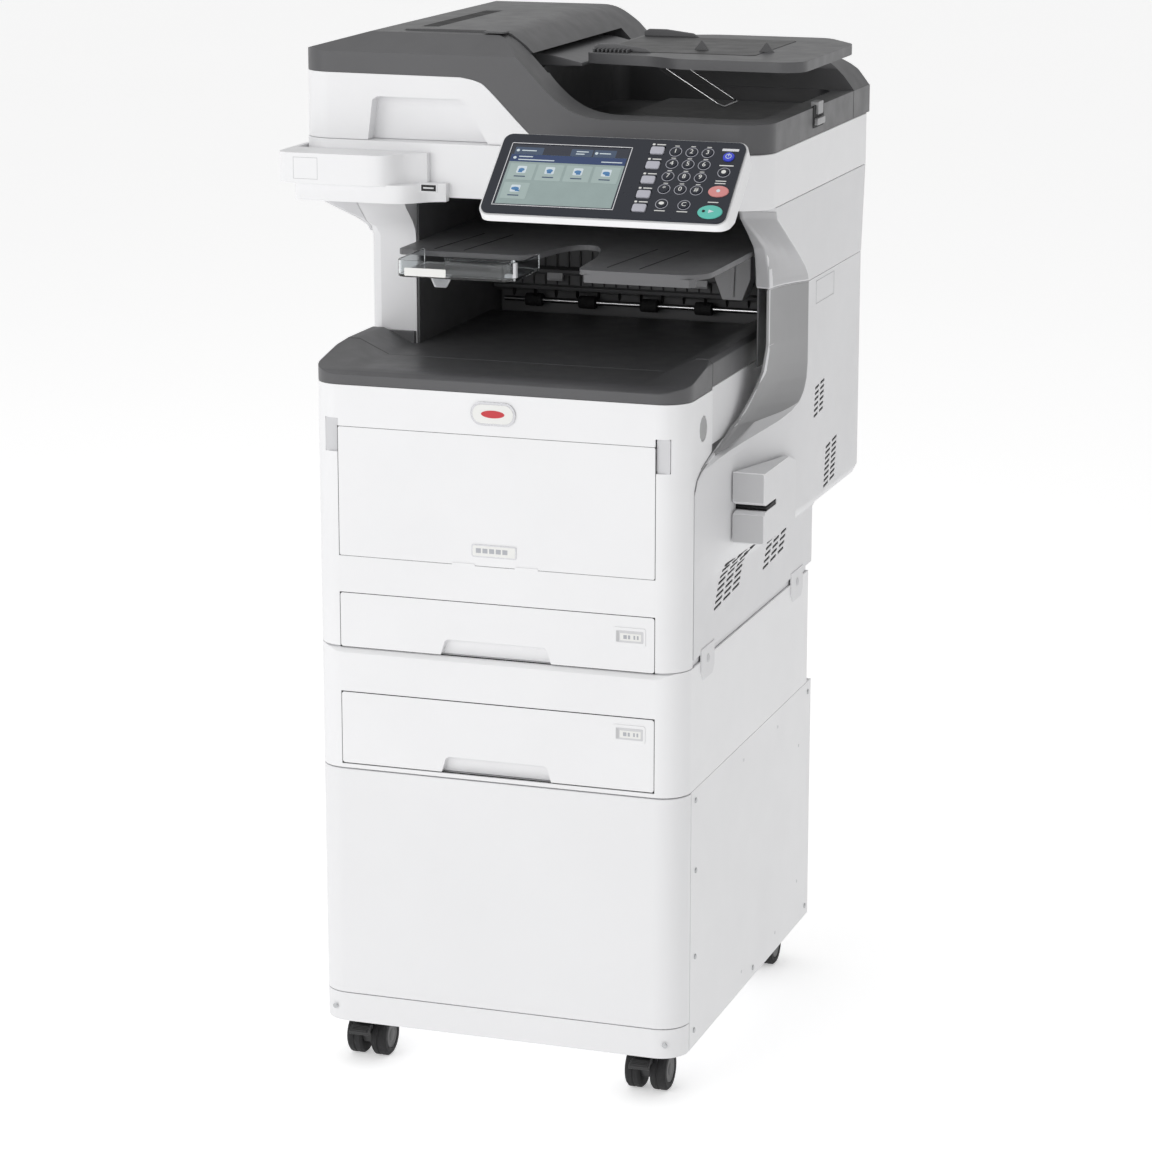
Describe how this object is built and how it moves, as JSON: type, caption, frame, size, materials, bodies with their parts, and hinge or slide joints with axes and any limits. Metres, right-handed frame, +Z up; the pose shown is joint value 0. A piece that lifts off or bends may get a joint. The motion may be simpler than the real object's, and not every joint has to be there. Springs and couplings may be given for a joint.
{
  "type": "photocopier",
  "caption": "Floor-standing colour copier: cabinet on casters, paper drawers, print engine, scanner with tilting lid and document feeder, touch panel.",
  "frame": {"origin": "centre of the whole machine's plan, on the floor", "axes": "+Z up, front towards -Y, +X to the right seen from the front"},
  "size_m": [0.586, 0.6464, 1.2165],
  "materials": {
    "painted_sheet": "smooth white powder coat",
    "white_plastic": "fine-grained white moulded plastic",
    "shell_plastic": "fine-grained light grey-white moulded plastic",
    "dark_plastic": "fine-grained dark grey moulded plastic",
    "black_plastic": "black moulded plastic",
    "black_rubber": "matt black rubber tread",
    "zinc_steel": "zinc-plated sheet and bar steel",
    "bright_steel": "bright ground shaft",
    "panel_face": "gloss navy-black printed panel",
    "screen_glass": "pale lit screen behind a clear window",
    "clear_glass": "clear flat glass",
    "clear_plastic": "clear moulded plastic",
    "grey_keys": "satin light grey keys",
    "teal_key": "translucent teal key",
    "pink_key": "translucent pink key",
    "blue_key": "translucent blue key"
  },
  "bodies": {
    "machine": {"cabinet_base": "painted_sheet", "cabinet_left_side": "painted_sheet", "cabinet_right_side": "painted_sheet", "cabinet_back": "painted_sheet", "cabinet_top": "painted_sheet", "cabinet_shelf": "painted_sheet", "tray_unit_housing": "white_plastic", "engine_frame": "zinc_steel", "left_cover": "shell_plastic", "right_cover": "shell_plastic", "right_side_cover": "shell_plastic", "rear_cover": "shell_plastic", "power_inlet": "black_plastic", "drum_basket": "black_plastic", "transfer_belt": "black_plastic", "fuser_unit": "black_plastic", "exit_housing": "dark_plastic", "bay_wall": "dark_plastic", "upper_tray": "dark_plastic", "clear_tray": "clear_plastic", "neck_left": "shell_plastic", "neck_right": "shell_plastic", "neck_liner": "dark_plastic", "neck_rear": "shell_plastic", "side_grip": "grey_keys"},
    "cabinet_door": {"cabinet_door": "painted_sheet"},
    "caster_front_left_fork": {"caster_front_left_fork": "black_plastic"},
    "caster_front_left_wheels": {"caster_front_left_wheels": "black_rubber"},
    "caster_front_right_fork": {"caster_front_right_fork": "black_plastic"},
    "caster_front_right_wheels": {"caster_front_right_wheels": "black_rubber"},
    "caster_rear_left_fork": {"caster_rear_left_fork": "black_plastic"},
    "caster_rear_left_wheels": {"caster_rear_left_wheels": "black_rubber"},
    "caster_rear_right_fork": {"caster_rear_right_fork": "black_plastic"},
    "caster_rear_right_wheels": {"caster_rear_right_wheels": "black_rubber"},
    "lower_drawer": {"lower_drawer": "white_plastic"},
    "upper_drawer": {"upper_drawer": "white_plastic"},
    "front_cover": {"front_cover": "white_plastic", "front_cover_lip": "dark_plastic"},
    "release_button": {"release_button": "shell_plastic"},
    "bypass_door": {"bypass_door": "white_plastic"},
    "top_cover": {"top_cover": "dark_plastic"},
    "exit_roller": {"exit_roller": "bright_steel"},
    "scanner": {"scanner_body": "white_plastic", "platen_glass": "clear_glass", "left_shelf": "white_plastic"},
    "scan_carriage": {"scan_carriage": "black_plastic"},
    "document_feeder": {"feeder_base": "white_plastic", "feeder_top": "dark_plastic", "platen_pad": "white_plastic"},
    "feeder_cover": {"feeder_cover": "dark_plastic"},
    "input_tray": {"input_tray": "dark_plastic"},
    "document_bail": {"document_bail": "bright_steel"},
    "control_panel": {"panel_housing": "white_plastic", "panel_fascia": "panel_face", "panel_screen": "screen_glass"},
    "number_keys": {"number_keys": "black_plastic"},
    "mode_keys": {"mode_keys": "grey_keys"},
    "start_key": {"start_key": "teal_key"},
    "stop_key": {"stop_key": "pink_key"},
    "power_key": {"power_key": "blue_key"}
  },
  "joints": [
    {"name": "caster_front_left_swivel", "type": "hinge", "parent": "machine", "child": "caster_front_left_fork", "pos_m": [-0.183, -0.21884, 0.037], "axis": [0, 0, 1], "continuous": true},
    {"name": "caster_front_left_roll", "type": "hinge", "parent": "caster_front_left_fork", "child": "caster_front_left_wheels", "pos_m": [-0.183, -0.20084, 0.025], "axis": [1, 0, 0], "continuous": true},
    {"name": "caster_front_right_swivel", "type": "hinge", "parent": "machine", "child": "caster_front_right_fork", "pos_m": [0.167, -0.21884, 0.037], "axis": [0, 0, 1], "continuous": true},
    {"name": "caster_front_right_roll", "type": "hinge", "parent": "caster_front_right_fork", "child": "caster_front_right_wheels", "pos_m": [0.167, -0.20084, 0.025], "axis": [1, 0, 0], "continuous": true},
    {"name": "caster_rear_left_swivel", "type": "hinge", "parent": "machine", "child": "caster_rear_left_fork", "pos_m": [-0.183, 0.23716, 0.037], "axis": [0, 0, 1], "continuous": true},
    {"name": "caster_rear_left_roll", "type": "hinge", "parent": "caster_rear_left_fork", "child": "caster_rear_left_wheels", "pos_m": [-0.183, 0.25516, 0.025], "axis": [1, 0, 0], "continuous": true},
    {"name": "caster_rear_right_swivel", "type": "hinge", "parent": "machine", "child": "caster_rear_right_fork", "pos_m": [0.167, 0.23716, 0.037], "axis": [0, 0, 1], "continuous": true},
    {"name": "caster_rear_right_roll", "type": "hinge", "parent": "caster_rear_right_fork", "child": "caster_rear_right_wheels", "pos_m": [0.167, 0.25516, 0.025], "axis": [1, 0, 0], "continuous": true},
    {"name": "cabinet_door_hinge", "type": "hinge", "parent": "machine", "child": "cabinet_door", "pos_m": [-0.229, -0.21804, 0.227], "axis": [0, 0, -1], "range_deg": [0, 110]},
    {"name": "lower_drawer_slide", "type": "slide", "parent": "machine", "child": "lower_drawer", "axis": [0, -1, 0], "range_m": [0, 0.35]},
    {"name": "upper_drawer_slide", "type": "slide", "parent": "machine", "child": "upper_drawer", "axis": [0, -1, 0], "range_m": [0, 0.35]},
    {"name": "front_cover_hinge", "type": "hinge", "parent": "machine", "child": "front_cover", "pos_m": [-0.005, -0.25083, 0.521], "axis": [-1, 0, 0], "range_deg": [-85, 0]},
    {"name": "release_button_press", "type": "slide", "parent": "front_cover", "child": "release_button", "axis": [-1, 0, 0], "range_m": [0, 0.003], "stiffness_N_per_m": 300},
    {"name": "bypass_door_hinge", "type": "hinge", "parent": "front_cover", "child": "bypass_door", "pos_m": [-0.005, -0.25233, 0.6272], "axis": [1, 0, 0], "range_deg": [0, 85]},
    {"name": "top_cover_hinge", "type": "hinge", "parent": "machine", "child": "top_cover", "pos_m": [-0.005, 0.17716, 0.847], "axis": [-1, 0, 0], "range_deg": [0, 9]},
    {"name": "exit_roller_spin", "type": "hinge", "parent": "machine", "child": "exit_roller", "pos_m": [0.015, 0.19717, 0.857], "axis": [1, 0, 0], "continuous": true},
    {"name": "scanner_hinge", "type": "hinge", "parent": "machine", "child": "scanner", "pos_m": [-0.005, 0.31017, 1.0315], "axis": [-1, 0, 0], "range_deg": [0, 15]},
    {"name": "scan_carriage_slide", "type": "slide", "parent": "scanner", "child": "scan_carriage", "axis": [1, 0, 0], "range_m": [0, 0.44]},
    {"name": "document_feeder_hinge", "type": "hinge", "parent": "scanner", "child": "document_feeder", "pos_m": [-0.005, 0.31916, 1.097], "axis": [-1, 0, 0], "range_deg": [0, 65]},
    {"name": "feeder_cover_hinge", "type": "hinge", "parent": "document_feeder", "child": "feeder_cover", "pos_m": [-0.174, 0.08117, 1.2195], "axis": [0, -1, 0], "range_deg": [0, 70]},
    {"name": "input_tray_hinge", "type": "hinge", "parent": "document_feeder", "child": "input_tray", "pos_m": [0.025, 0.09717, 1.188], "axis": [0, -1, 0], "range_deg": [0, 65]},
    {"name": "document_bail_hinge", "type": "hinge", "parent": "input_tray", "child": "document_bail", "pos_m": [0.113, 0.04716, 1.169], "axis": [0, -1, 0], "range_deg": [0, 30]},
    {"name": "control_panel_tilt", "type": "hinge", "parent": "scanner", "child": "control_panel", "pos_m": [0.143, -0.21884, 1.073], "axis": [-1, 0, 0], "range_deg": [0, 25]},
    {"name": "number_keys_press", "type": "slide", "parent": "control_panel", "child": "number_keys", "axis": [0, 0.6401, -0.7683], "range_m": [0, 0.0008], "stiffness_N_per_m": 400},
    {"name": "mode_keys_press", "type": "slide", "parent": "control_panel", "child": "mode_keys", "axis": [0, 0.6401, -0.7683], "range_m": [0, 0.0008], "stiffness_N_per_m": 300},
    {"name": "start_key_press", "type": "slide", "parent": "control_panel", "child": "start_key", "axis": [0, 0.6401, -0.7683], "range_m": [0, 0.0008], "stiffness_N_per_m": 300},
    {"name": "stop_key_press", "type": "slide", "parent": "control_panel", "child": "stop_key", "axis": [0, 0.6401, -0.7683], "range_m": [0, 0.0008], "stiffness_N_per_m": 300},
    {"name": "power_key_press", "type": "slide", "parent": "control_panel", "child": "power_key", "axis": [0, 0.6401, -0.7683], "range_m": [0, 0.0008], "stiffness_N_per_m": 300}
  ]
}
